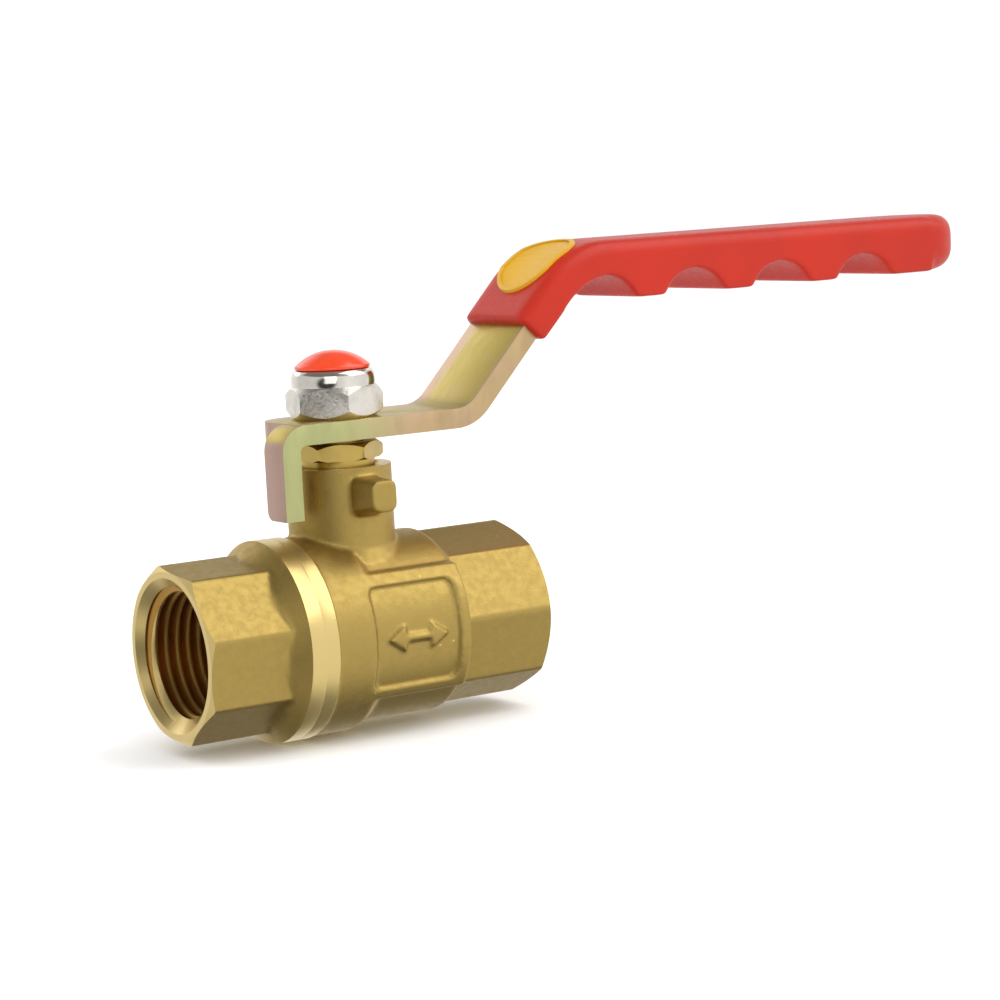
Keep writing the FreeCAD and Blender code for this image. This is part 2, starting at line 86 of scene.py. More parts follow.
# ---- body and end cap, from the stem axis or the pipe axis ---------------------------------
OCTAGON_FLATS = 25.0
CAP_TURN, BODY_TURN = -8.0, -18.0
FACE_R, FACE_SLOPE = 12.45, 1.6
BAND_START, BAND_END = -14.7, -10.1
BAND_STOCK = 1.0
RING_R, RING_END = 15.0, -3.0
CHAMBER_R, CHAMBER_END = 14.1, 13.2
WATERWAY_R = 7.5
FRAME_R, PANEL_R = 15.0, 14.35
FRAME_X = (-4.6, 12.8)
FRAME_Z = (-8.9, 9.8)
PANEL_X = (-3.7, 10.9)
PANEL_Z = (-7.4, 8.0)
NECK_R, FOOT_R, FOOT_Z = 8.0, 8.9, 11.2
LUG_REACH = 13.3

# ---- lever and grip -----------------------------------------------------------------------
PLATE = 3.0
LEVER_WIDTH = 15.0
HUB_BACK, HUB_CORNER = 10.2, 5.5
SLOPE_X, SLOPE_ANGLE = 19.0, math.radians(46.5)
GRIP_LEVEL = 54.4
LOWER_BEND, UPPER_BEND = 5.0, 15.0
LEVER_END, GRIP_END = 119.0, 121.6
BADGE_TILT = math.radians(32.5)
TIP_LOW_R, TIP_TOP_R = 3.6, 2.8
TAB_OUTER, TAB_BOTTOM, TAB_WIDTH, TAB_BEND = 13.5, 18.3, 5.6, 4.0
SLOPE_TOP_X = SLOPE_X + (GRIP_LEVEL - HUB_TOP) / math.tan(SLOPE_ANGLE)


# ==== small modelling tools ==================================================================

def finish_mesh(bm, name, sharp_angle=32.0):
    """An object in metres from a millimetre bmesh, smooth-shaded up to sharp_angle degrees."""
    bmesh.ops.scale(bm, vec=(MM, MM, MM), verts=bm.verts)
    mesh = bpy.data.meshes.new(name)
    bm.to_mesh(mesh)
    bm.free()
    mesh.polygons.foreach_set("use_smooth", [True] * len(mesh.polygons))
    mesh.set_sharp_from_angle(angle=math.radians(sharp_angle))
    piece = bpy.data.objects.new(name, mesh)
    bpy.context.scene.collection.objects.link(piece)
    return piece


def turned(profile, axis=AXIS_X, centre=Vector((0, 0, 0)), steps=144):
    """A closed turned solid from (along, radius) points; its ends close on the axis."""
    bm = bmesh.new()
    side = AXIS_Z if axis == AXIS_X else AXIS_X
    points = [(profile[0][0], 0)] + list(profile) + [(profile[-1][0], 0)]
    verts = [bm.verts.new(centre + axis * along + side * r) for along, r in points]
    edges = [bm.edges.new(pair) for pair in zip(verts, verts[1:])]
    bmesh.ops.spin(bm, geom=verts + edges, cent=centre, axis=axis, angle=2 * math.pi,
                   steps=steps, use_merge=True)
    bmesh.ops.remove_doubles(bm, verts=bm.verts, dist=0.0005)
    bmesh.ops.recalc_face_normals(bm, faces=bm.faces)
    return bm


def turned_ring(profile, axis=AXIS_X, centre=Vector((0, 0, 0)), steps=144):
    """A turned ring from a closed run of (along, radius) points clear of the axis."""
    bm = bmesh.new()
    side = AXIS_Z if axis == AXIS_X else AXIS_X
    verts = [bm.verts.new(centre + axis * along + side * r) for along, r in profile]
    edges = [bm.edges.new(pair) for pair in zip(verts, verts[1:] + verts[:1])]
    bmesh.ops.spin(bm, geom=verts + edges, cent=centre, axis=axis, angle=2 * math.pi,
                   steps=steps, use_merge=True)
    bmesh.ops.recalc_face_normals(bm, faces=bm.faces)
    return bm


def push(bm, face, move):
    """Extrudes a face by a vector and returns the face at its new end."""
    grown = bmesh.ops.extrude_face_region(bm, geom=[face])["geom"]
    verts = [g for g in grown if isinstance(g, bmesh.types.BMVert)]
    bmesh.ops.translate(bm, vec=move, verts=verts)
    return next(g for g in grown if isinstance(g, bmesh.types.BMFace))


def close_skin(bm):
    """Removes faces left inside a solid by turning it up, and points the others outward."""
    inner = [f for f in bm.faces if all(len(e.link_faces) > 2 for e in f.edges)]
    bmesh.ops.delete(bm, geom=inner, context="FACES_ONLY")
    bmesh.ops.recalc_face_normals(bm, faces=bm.faces)


def prism(corners, move):
    """A solid pushed from a flat face through the corners."""
    bm = bmesh.new()
    face = bm.faces.new([bm.verts.new(c) for c in corners])
    push(bm, face, move)
    bmesh.ops.recalc_face_normals(bm, faces=bm.faces)
    return bm


def block(x, y, z):
    """A box between pairs of sizes along each axis."""
    corners = [(x[0], y[0], z[0]), (x[1], y[0], z[0]), (x[1], y[1], z[0]), (x[0], y[1], z[0])]
    return prism(corners, (0, 0, z[1] - z[0]))


def octagon_bar(x0, x1, turn):
    """An octagonal bar along the pipe, turned from flats at the front and top."""
    r = OCTAGON_FLATS / 2 / math.cos(math.pi / 8)
    angles = [math.pi / 8 + math.pi / 4 * k + math.radians(turn) for k in range(8)]
    return prism([(x0, -r * math.cos(a), r * math.sin(a)) for a in angles], (x1 - x0, 0, 0))


def hex_bar(flats, z0, z1, turn):
    """A hexagonal bar on the stem axis, one corner at turn degrees from the front."""
    r = flats / 2 / math.cos(math.pi / 6)
    angles = [math.radians(turn) + math.pi / 3 * k for k in range(6)]
    return prism([(STEM_X + r * math.sin(a), -r * math.cos(a), z0) for a in angles],
                 (0, 0, z1 - z0))


def sharp_edges(bm, angle):
    """Edges where two faces meet at more than angle degrees."""
    limit = math.radians(angle)
    return [e for e in bm.edges if len(e.link_faces) == 2 and e.calc_face_angle(0) > limit]


def round_edges(bm, edges, size, segments=3):
    """Rounds the given edges."""
    bmesh.ops.bevel(bm, geom=edges, offset=size, offset_type="OFFSET", segments=segments,
                    profile=0.5, affect="EDGES", clamp_overlap=True, material=-1)


def tool_object(bm, material=None):
    """A helper object, in millimetres, for joining to a piece or cutting it."""
    mesh = bpy.data.meshes.new("tool")
    bm.to_mesh(mesh)
    bm.free()
    if material:
        mesh.materials.append(material)
    tool = bpy.data.objects.new("tool", mesh)
    bpy.context.scene.collection.objects.link(tool)
    return tool


def settle(piece, tools=()):
    """Applies the piece's modifiers to its mesh and removes the helper objects."""
    graph = bpy.context.evaluated_depsgraph_get()
    mesh = bpy.data.meshes.new_from_object(piece.evaluated_get(graph), depsgraph=graph)
    bm = bmesh.new()
    bm.from_mesh(mesh)
    materials = list(mesh.materials)
    for helper in [piece, *tools]:
        old = helper.data
        bpy.data.objects.remove(helper)
        bpy.data.meshes.remove(old)
    bpy.data.meshes.remove(mesh)
    return bm, materials


def carve(bm, steps, materials=()):
    """Runs (operation, bmesh, material) steps on a solid; cut faces take the tool's material."""
    piece = tool_object(bm)
    for material in materials:
        piece.data.materials.append(material)
    tools = []
    for operation, shape, material in steps:
        tools.append(tool_object(shape, material))
        change = piece.modifiers.new("carve", "BOOLEAN")
        change.operation = operation
        change.solver = "EXACT"
        change.material_mode = "TRANSFER"
        change.object = tools[-1]
    return settle(piece, tools)


def soften(bm, grain, passes):
    """Turns a solid into one skin of even small faces and rounds its edges, as sand casting does."""
    piece = tool_object(bm)
    skin = piece.modifiers.new("skin", "REMESH")
    skin.mode = "VOXEL"
    skin.voxel_size = grain
    soft = piece.modifiers.new("soft", "SMOOTH")
    soft.factor = 0.5
    soft.iterations = passes
    return settle(piece)[0]


def dress(piece, body, nodes, slot, *materials):
    """Gives a piece its materials and its body, and hides the nodes it stands for; slot is not used."""
    for material in materials:
        piece.data.materials.append(material)
    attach(piece, body)
    if nodes:
        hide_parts(*nodes)
    return piece


# ==== materials =================================================================================

class Recipe:
    """A material's node tree, with one short call for each kind of node."""

    def __init__(self, name):
        self.material = bpy.data.materials.new(name)
        self.material.use_nodes = True
        self.tree = self.material.node_tree
        self.shader = self.tree.nodes["Principled BSDF"]
        self.coords = self.tree.nodes.new("ShaderNodeTexCoord")

    def link(self, source, target):
        self.tree.links.new(source, target)

    def set(self, **values):
        for name, value in values.items():
            self.shader.inputs[name.replace("_", " ")].default_value = value
        return self

    def stretched(self, scale, shift=(0, 0, 0)):
        node = self.tree.nodes.new("ShaderNodeMapping")
        node.inputs["Scale"].default_value = scale
        node.inputs["Location"].default_value = shift
        self.link(self.coords.outputs["Object"], node.inputs["Vector"])
        return node.outputs["Vector"]

    def noise(self, size_mm, detail=2.0, roughness=0.5, vector=None):
        """Noise whose features are about size_mm across."""
        node = self.tree.nodes.new("ShaderNodeTexNoise")
        node.inputs["Scale"].default_value = 1 / (size_mm * MM)
        node.inputs["Detail"].default_value = detail
        node.inputs["Roughness"].default_value = roughness
        self.link(vector or self.coords.outputs["Object"], node.inputs["Vector"])
        return node.outputs["Fac"]

    def spots(self, size_mm):
        """Distance to scattered points about size_mm apart."""
        node = self.tree.nodes.new("ShaderNodeTexVoronoi")
        node.inputs["Scale"].default_value = 1 / (size_mm * MM)
        self.link(self.coords.outputs["Object"], node.inputs["Vector"])
        return node.outputs["Distance"]

    def between(self, value, low, high, to_low=0.0, to_high=1.0, smooth=True):
        node = self.tree.nodes.new("ShaderNodeMapRange")
        node.interpolation_type = "SMOOTHSTEP" if smooth else "LINEAR"
        for name, number in (("From Min", low), ("From Max", high),
                             ("To Min", to_low), ("To Max", to_high)):
            node.inputs[name].default_value = number
        self.link(value, node.inputs["Value"])
        return node.outputs["Result"]

    def maths(self, operation, a, b=0.0):
        node = self.tree.nodes.new("ShaderNodeMath")
        node.operation = operation
        for socket, value in zip(node.inputs, (a, b)):
            if isinstance(value, (int, float)):
                socket.default_value = value
            else:
                self.link(value, socket)
        return node.outputs[0]

    def blend(self, amount, first, second, mode="MIX"):
        node = self.tree.nodes.new("ShaderNodeMix")
        node.data_type = "RGBA"
        node.blend_type = mode
        for socket, value in ((node.inputs[0], amount), (node.inputs[6], first),
                              (node.inputs[7], second)):
            if isinstance(value, bpy.types.NodeSocket):
                self.link(value, socket)
            else:
                socket.default_value = value
        return node.outputs[2]

    def place(self, axis, of="Object"):
        """One coordinate of the surface, in metres, or of its direction."""
        node = self.tree.nodes.new("ShaderNodeSeparateXYZ")
        self.link(self.coords.outputs[of], node.inputs[0])
        return node.outputs[axis]

    def colour(self, socket):
        self.link(socket, self.shader.inputs["Base Color"])
        return self

    def rough(self, socket):
        self.link(socket, self.shader.inputs["Roughness"])
        return self

    def relief(self, height, depth_mm, strength=1.0, under=None):
        node = self.tree.nodes.new("ShaderNodeBump")
        node.inputs["Strength"].default_value = strength
        node.inputs["Distance"].default_value = depth_mm * MM
        self.link(height, node.inputs["Height"])
        if under:
            self.link(under, node.inputs["Normal"])
        self.link(node.outputs["Normal"], self.shader.inputs["Normal"])
        return node.outputs["Normal"]


def shade(colour, factor):
    return (colour[0] * factor, colour[1] * factor, colour[2] * factor, 1.0)


def sand_blasted_brass(colour):
    """Cast brass after blasting: fine even grain, patches of tone and a few small pits."""
    m = Recipe("sand_blasted_brass").set(Metallic=1.0)
    patches = m.noise(7.0, 3.0)
    grain = m.noise(0.22, 2.0, 0.6)
    pits = m.between(m.spots(4.5), 0.02, 0.045, 1.0, 0.0)
    tone = m.blend(m.between(patches, 0.35, 0.65), shade(colour, 0.93), shade(colour, 1.06))
    tone = m.blend(m.between(grain, 0.3, 0.7, 0.88, 1.08, False), (0, 0, 0, 1), tone)
    m.colour(m.blend(pits, shade(colour, 0.5), tone))
    m.rough(m.between(m.noise(1.1, 4.0), 0.3, 0.7, 0.42, 0.52))
    coarse = m.relief(m.noise(1.3, 3.0), 0.02, 0.35)
    m.relief(grain, 0.04, 0.8, coarse)
    return m.material


def turned_brass(name, colour, roughness):
    """Brass straight from the lathe: fine rings round the axis and a soft shine."""
    m = Recipe(name).set(Metallic=1.0)
    across = m.maths("POWER", m.place("Y"), 2.0)
    across = m.maths("ADD", across, m.maths("POWER", m.place("Z"), 2.0))
    radius = m.maths("SQRT", across)
    both = m.tree.nodes.new("ShaderNodeCombineXYZ")
    m.link(m.place("X"), both.inputs[0])
    m.link(radius, both.inputs[1])
    rings = m.noise(0.16, 3.0, 0.6, both.outputs[0])
    cloud = m.noise(5.0, 2.0)
    m.colour(m.blend(m.between(cloud, 0.3, 0.7), shade(colour, 0.95), shade(colour, 1.05)))
    m.rough(m.between(rings, 0.3, 0.7, roughness - 0.04, roughness + 0.06))
    m.relief(rings, 0.006, 0.5)
    return m.material


def passivated_zinc(yellow, pink, green):
    """Yellow-passivated zinc on sheet steel: tones drift from olive to pink and green."""
    m = Recipe("passivated_zinc").set(Metallic=1.0)
    x, y, z = m.place("X"), m.place("Y"), m.place("Z")
    drift = m.noise(9.0, 3.0, 0.55)
    to_edge = m.between(m.maths("ABSOLUTE", m.maths("ADD", y, 0.001)), 0.0048, 0.0076)
    patchy = m.maths("ADD", m.maths("MULTIPLY", to_edge, 0.75), m.between(drift, 0.45, 0.75, 0.0, 0.2))
    tone = m.blend(patchy, yellow, pink)
    front = m.between(m.place("Y", "Normal"), -0.95, -0.6, 1.0, 0.0)
    by_tab = m.between(x, (STEM_X - 6) * MM, (STEM_X + 12) * MM, 1.0, 0.0)
    tone = m.blend(m.maths("MULTIPLY", front, by_tab), tone, green)
    outer = m.between(m.place("X", "Normal"), -0.97, -0.85, 1.0, 0.0)
    tone = m.blend(outer, tone, shade(pink, 0.82))
    streaks = m.noise(1.0, 3.0, 0.6, m.stretched((0.35, 1.0, 0.12)))
    tone = m.blend(m.between(streaks, 0.3, 0.7, 0.86, 1.04, False), (0, 0, 0, 1), tone)
    m.colour(tone)
    m.rough(m.between(streaks, 0.3, 0.7, 0.3, 0.42))
    coarse = m.relief(m.noise(2.2, 3.0), 0.03, 0.4)
    m.relief(m.noise(0.35, 2.0, 0.6, m.stretched((1.0, 1.0, 0.18))), 0.012, 0.5, coarse)
    return m.material


def soft_vinyl(name, colour, depth=0.012):
    """Dipped vinyl: satin skin with a faint leathery ripple."""
    m = Recipe(name).set(Specular_IOR_Level=0.3)
    tone = m.blend(m.between(m.noise(14.0, 2.0), 0.3, 0.7), shade(colour, 0.94), shade(colour, 1.05))
    m.colour(tone)
    m.rough(m.between(m.noise(0.8, 3.0), 0.3, 0.7, 0.36, 0.46))
    m.relief(m.noise(1.6, 3.0, 0.5), depth, 0.5)
    return m.material


def gloss_plastic(name, colour, roughness):
    """Moulded plastic with a near-smooth skin."""
    m = Recipe(name).set(Coat_Weight=0.3, Coat_Roughness=0.08)
    tone = m.blend(m.between(m.noise(4.0, 2.0), 0.3, 0.7), shade(colour, 0.95), shade(colour, 1.04))
    m.colour(tone)
    m.rough(m.between(m.noise(0.5, 2.0), 0.3, 0.7, roughness - 0.03, roughness + 0.05))
    m.relief(m.noise(2.5, 2.0), 0.012, 0.4)
    return m.material


def nickel_plate(name, colour, low, high, grain_mm, depth_mm):
    """Bright nickel; grain and depth set how much of the forged surface still shows."""
    m = Recipe(name).set(Metallic=1.0)
    grain = m.noise(grain_mm, 3.0, 0.6)
    tone = m.blend(m.between(m.noise(2.5, 3.0), 0.35, 0.7), colour, shade(colour, 0.86))
    m.colour(tone)
    m.rough(m.between(grain, 0.3, 0.7, low, high))
    m.relief(grain, depth_mm, 0.7)
    return m.material


def waxy_ptfe():
    """White PTFE seals, slightly mottled."""
    m = Recipe("waxy_ptfe").set(Subsurface_Weight=0.1, Subsurface_Radius=(0.001, 0.001, 0.001))
    m.colour(m.blend(m.between(m.noise(1.5, 3.0), 0.3, 0.7), (0.78, 0.78, 0.75, 1),
                     (0.88, 0.88, 0.86, 1)))
    m.rough(m.between(m.noise(0.4, 2.0), 0.3, 0.7, 0.42, 0.55))
    m.relief(m.noise(0.3, 2.0), 0.01, 0.4)
    return m.material


def seal_rubber():
    """Black moulded rubber with a dusty bloom."""
    m = Recipe("seal_rubber")
    m.colour(m.blend(m.between(m.noise(0.7, 3.0), 0.4, 0.8), (0.012, 0.012, 0.013, 1),
                     (0.05, 0.05, 0.052, 1)))
    m.rough(m.between(m.noise(0.25, 2.0), 0.3, 0.7, 0.5, 0.65))
    m.relief(m.noise(0.15, 2.0), 0.006, 0.4)
    return m.material


def polished_chrome():
    """Hard chrome on the ball, with hairline wear where it turns on its seats."""
    m = Recipe("polished_chrome").set(Metallic=1.0)
    hair = m.noise(0.4, 4.0, 0.7, m.stretched((0.2, 0.2, 2.5)))
    m.colour(m.blend(m.between(hair, 0.5, 0.8), (0.78, 0.78, 0.8, 1), (0.66, 0.66, 0.69, 1)))
    m.rough(m.between(hair, 0.3, 0.7, 0.05, 0.12))
    m.relief(hair, 0.002, 0.3)
    return m.material


def matte_nylon():
    """Off-white nylon locking ring."""
    m = Recipe("matte_nylon")
    m.colour(m.blend(m.between(m.noise(1.2, 2.0), 0.3, 0.7), (0.7, 0.69, 0.64, 1),
                     (0.8, 0.79, 0.75, 1)))
    m.rough(m.between(m.noise(0.5, 2.0), 0.3, 0.7, 0.45, 0.6))
    m.relief(m.noise(0.4, 2.0), 0.01, 0.4)
    return m.material


# ==== shapes ====================================================================================

def port_tool(face_x, inward):
    """Countersink and bore of a port, as a solid to cut away."""
    past = -0.5 * inward
    return turned([(face_x + past, MOUTH_R + 0.5), (face_x, MOUTH_R),
                   (face_x + inward * MOUTH_DEPTH, PORT_R),
                   (face_x + inward * (MOUTH_DEPTH + THREAD_LENGTH), PORT_R),
                   (face_x + inward * (MOUTH_DEPTH + THREAD_LENGTH + 0.8), PORT_R - 0.8)])


def thread_tool(face_x, inward):
    """A right-hand V groove that winds down a port's wall, as a solid to cut away."""
    bm = bmesh.new()
    pitch = sizes().thread_pitch / MM
    half = pitch * 0.43
    outer = PORT_R + sizes().thread_depth / MM
    start = face_x - inward * 0.1
    profile = [(-half, PORT_R - 0.15), (-0.16, outer), (0.16, outer), (half, PORT_R - 0.15)]
    face = bm.faces.new([bm.verts.new((start + along, 0, r)) for along, r in profile])
    turns, per_turn = 7, 72
    bmesh.ops.spin(bm, geom=[face], cent=(0, 0, 0), axis=AXIS_X,
                   dvec=(inward * pitch / per_turn, 0, 0),
                   angle=inward * 2 * math.pi * turns, steps=turns * per_turn, use_merge=False)
    bmesh.ops.recalc_face_normals(bm, faces=bm.faces)
    return bm


def face_tool(face_x, inward):
    """The ring that turning the mouth's face takes off the octagon's corners."""
    far, reach = 20.0, 3.0
    return turned_ring([(face_x - inward, FACE_R - FACE_SLOPE), (face_x - inward, far),
                        (face_x + inward * reach, far),
                        (face_x + inward * reach, FACE_R + reach * FACE_SLOPE)])


def facing_tool(face_x, inward):
    """Everything beyond an end's face."""
    return turned([(face_x - inward * 4, 20), (face_x, 20)])


def cap_casting():
    """The end cap as cast: octagon and blended shoulder, a little oversize where it is machined."""
    shape = octagon_bar(INLET_X - 1.5, STEM_X + BAND_START, CAP_TURN)
    start = STEM_X + BAND_START
    shoulder = turned([(start - 4.2, OCTAGON_FLATS / 2 - 0.1), (start - 2.7, BAND_R - 2.4),
                       (start - 1.8, BAND_R - 1.65), (start - 0.7, BAND_R - 0.55),
                       (start, BAND_R + 0.15), (start + 0.5, BAND_R + BAND_STOCK),
                       (SEAM_X + 1.5, BAND_R + BAND_STOCK)])
    bm, _ = carve(shape, [("UNION", shoulder, None)])
    return soften(bm, sizes().grain / MM, 5)


def end_cap(cast, machined, threaded):
    """Inlet half: casting, turned band and mouth, threaded port and spigot."""
    spigot_r = 13.18
    seal_x = corner_mm("joint_seal", 0).x
    shoulder_cut = turned_ring([(SEAM_X, spigot_r), (SEAM_X, 20), (SEAM_X + 4, 20),
                                (SEAM_X + 4, spigot_r)])
    spigot = turned([(SEAM_X - 1, spigot_r), (seal_x - 0.4, spigot_r), (seal_x, spigot_r - 0.4)])
    band = turned_ring([(STEM_X + BAND_START - 0.2, BAND_R), (STEM_X + BAND_START - 0.2, 20),
                        (SEAM_X + 0.5, 20), (SEAM_X + 0.5, BAND_R - 0.12), (SEAM_X - 0.12, BAND_R)])
    seat_pocket_x = corner_mm("inlet_seat", 0).x
    pocket_r = corner_mm("inlet_seat", 1).z + 0.05
    steps = [("DIFFERENCE", shoulder_cut, machined), ("UNION", spigot, machined),
             ("DIFFERENCE", band, machined), ("DIFFERENCE", facing_tool(INLET_X, 1), machined),
             ("DIFFERENCE", face_tool(INLET_X, 1), machined),
             ("DIFFERENCE", port_tool(INLET_X, 1), machined),
             ("DIFFERENCE", turned([(5.0, WATERWAY_R), (seal_x + 1, WATERWAY_R)]), machined),
             ("DIFFERENCE", turned([(seat_pocket_x, pocket_r), (seal_x + 1, pocket_r)]), machined),
             ("DIFFERENCE", thread_tool(INLET_X, 1), threaded)]
    return carve(cap_casting(), steps, [cast, machined, threaded])


def side_frame(side):
    """A raised frame on one side of the chamber, and the tool for its recessed panel."""
    x = (STEM_X + FRAME_X[0], STEM_X + FRAME_X[1])
    pad = turned([(x[0], FRAME_R), (x[1], FRAME_R)])
    y = sorted((side * 8, side * 20))
    pad, _ = carve(pad, [("INTERSECT", block((x[0] - 1, x[1] + 1), y, FRAME_Z), None)])
    window = block((STEM_X + PANEL_X[0], STEM_X + PANEL_X[1]), y, PANEL_Z)
    across = [e for e in window.edges if abs(e.verts[0].co.y - e.verts[1].co.y) > 1]
    round_edges(window, across, 1.5, 5)
    core = turned([(x[0] - 1, PANEL_R), (x[1] + 1, PANEL_R)])
    window, _ = carve(window, [("DIFFERENCE", core, None)])
    return pad, window


def stop_lug(side):
    """A tapered lug on the neck, side -1 at the front and +1 at the back."""
    root_y, tip_y = side * (NECK_R - 1.5), side * LUG_REACH
    tip_half, tip_low, tip_high = (2.1 if side < 0 else 1.3), 18.9, 23.6
    half, low, high = tip_half + 0.6, 17.8, 23.8
    bm = block((STEM_X - half, STEM_X + half), sorted((root_y, tip_y)), (low, high))
    for v in bm.verts:
        if abs(v.co.y - tip_y) < 0.01:
            v.co.x = STEM_X + tip_half * (1 if v.co.x > STEM_X else -1)
            v.co.z = tip_high if v.co.z > (low + high) / 2 else tip_low
    along = [e for e in bm.edges if abs(e.verts[0].co.y - e.verts[1].co.y) > 1]
    round_edges(bm, along, 1.2, 4)
    return bm


def flow_arrow(side):
    """A plain double-headed arrow that stands up from the panel."""
    length, head, shaft_half, head_half = 10.4, 3.0, 0.5, 1.9
    middle = STEM_X + (PANEL_X[0] + PANEL_X[1]) / 2
    outline = [(-length / 2, 0), (-length / 2 + head, head_half), (-length / 2 + head, shaft_half),
               (length / 2 - head, shaft_half), (length / 2 - head, head_half), (length / 2, 0),
               (length / 2 - head, -head_half), (length / 2 - head, -shaft_half),
               (-length / 2 + head, -shaft_half), (-length / 2 + head, -head_half)]
    column = prism([(middle + x, side * 8, z) for x, z in outline], (0, side * 12, 0))
    skin = turned([(STEM_X + FRAME_X[0], FRAME_R), (STEM_X + FRAME_X[1], FRAME_R)])
    arrow, _ = carve(column, [("INTERSECT", skin, None)])
    return arrow


def body_casting():
    """The body as cast: ring, chamber, octagon, neck, lugs, side frames and flow arrows."""
    flat = OCTAGON_FLATS / 2
    shell = turned([(SEAM_X - 1.5, BAND_R + BAND_STOCK), (STEM_X + BAND_END - 0.6, BAND_R + BAND_STOCK),
                    (STEM_X + BAND_END - 0.2, RING_R), (STEM_X + RING_END, RING_R),
                    (STEM_X + RING_END + 1.2, CHAMBER_R), (STEM_X + CHAMBER_END - 0.9, CHAMBER_R),
                    (STEM_X + CHAMBER_END + 0.1, flat)])
    octagon = octagon_bar(STEM_X + CHAMBER_END - 1.0, OUTLET_X + 1.5, BODY_TURN)
    neck = turned([(0, FOOT_R), (FOOT_Z, FOOT_R), (FOOT_Z + 2.0, NECK_R), (NECK_TOP + 1, NECK_R)],
                  AXIS_Z, STEM)
    steps = [("UNION", octagon, None), ("UNION", neck, None)]
    windows, arrows = [], []
    for side in (-1, 1):
        pad, window = side_frame(side)
        steps += [("UNION", pad, None), ("UNION", stop_lug(side), None)]
        windows.append(("DIFFERENCE", window, None))
        arrows.append(("UNION", flow_arrow(side), None))
    bm, _ = carve(shell, steps + windows + arrows)
    return soften(bm, sizes().grain / MM, 7)


def valve_body(cast, machined, threaded):
    """Outlet half: casting with its band, outlet face, thread, chamber and neck bores turned."""
    seal_x = corner_mm("joint_seal", 1).x
    seat = corner_mm("outlet_seat", 1)
    seam_cut = turned([(SEAM_X - 4, 20), (SEAM_X, 20)])
    band = turned_ring([(SEAM_X + 0.12, BAND_R), (SEAM_X - 0.5, BAND_R - 0.12), (SEAM_X - 0.5, 20),
                        (STEM_X + BAND_END + 0.8, 20), (STEM_X + BAND_END + 0.8, BAND_R)])
    chamber = turned([(SEAM_X - 1, 13.2), (seal_x, 13.2), (seal_x, 12.2), (STEM_X + 7.2, 12.2),
                      (STEM_X + 7.2, seat.z + 0.05), (seat.x, seat.z + 0.05), (seat.x, WATERWAY_R),
                      (OUTLET_X - 10, WATERWAY_R)])
    neck_bore = turned([(0, 5.8), (14.3, 5.8), (14.3, 4.05), (18.8, 4.05), (18.8, 5.6),
                        (NECK_TOP - 1.1, 5.6), (NECK_TOP + 0.4, 7.1),
                        (NECK_TOP + 3, 7.1)], AXIS_Z, STEM)
    neck_face = turned([(NECK_TOP, 12), (NECK_TOP + 4, 12)], AXIS_Z, STEM)
    steps = [("DIFFERENCE", seam_cut, machined), ("DIFFERENCE", band, machined),
             ("DIFFERENCE", facing_tool(OUTLET_X, -1), machined),
             ("DIFFERENCE", face_tool(OUTLET_X, -1), machined),
             ("DIFFERENCE", chamber, machined), ("DIFFERENCE", port_tool(OUTLET_X, -1), machined),
             ("DIFFERENCE", neck_face, machined), ("DIFFERENCE", neck_bore, machined),
             ("DIFFERENCE", thread_tool(OUTLET_X, -1), threaded)]
    return carve(body_casting(), steps, [cast, machined, threaded])


def gland_nut():
    """Hexagonal gland nut with chamfered corners and a plain shank into the neck."""
    low, high, half = 26.1, GLAND_TOP, 6.0
    bm = hex_bar(2 * half, low, high, GLAND_TURN)
    rounding = turned([(low - 1, half - 0.6), (low, half + 0.35), (low + 0.4, half + 0.95),
                       (high - 0.75, half + 0.95), (high - 0.15, half + 0.1), (high, half - 0.15)],
                      AXIS_Z, STEM)
    shank = turned([(22.9, 5.57), (low + 0.5, 5.57)], AXIS_Z, STEM)
    bore = turned([(20, 4.05), (high - 0.4, 4.05), (high + 0.4, 4.85), (high + 1, 4.85)], AXIS_Z, STEM)
    bm, _ = carve(bm, [("INTERSECT", rounding, None), ("UNION", shank, None),
                       ("DIFFERENCE", bore, None)])
    round_edges(bm, sharp_edges(bm, 25), 0.12, 2)
    return bm


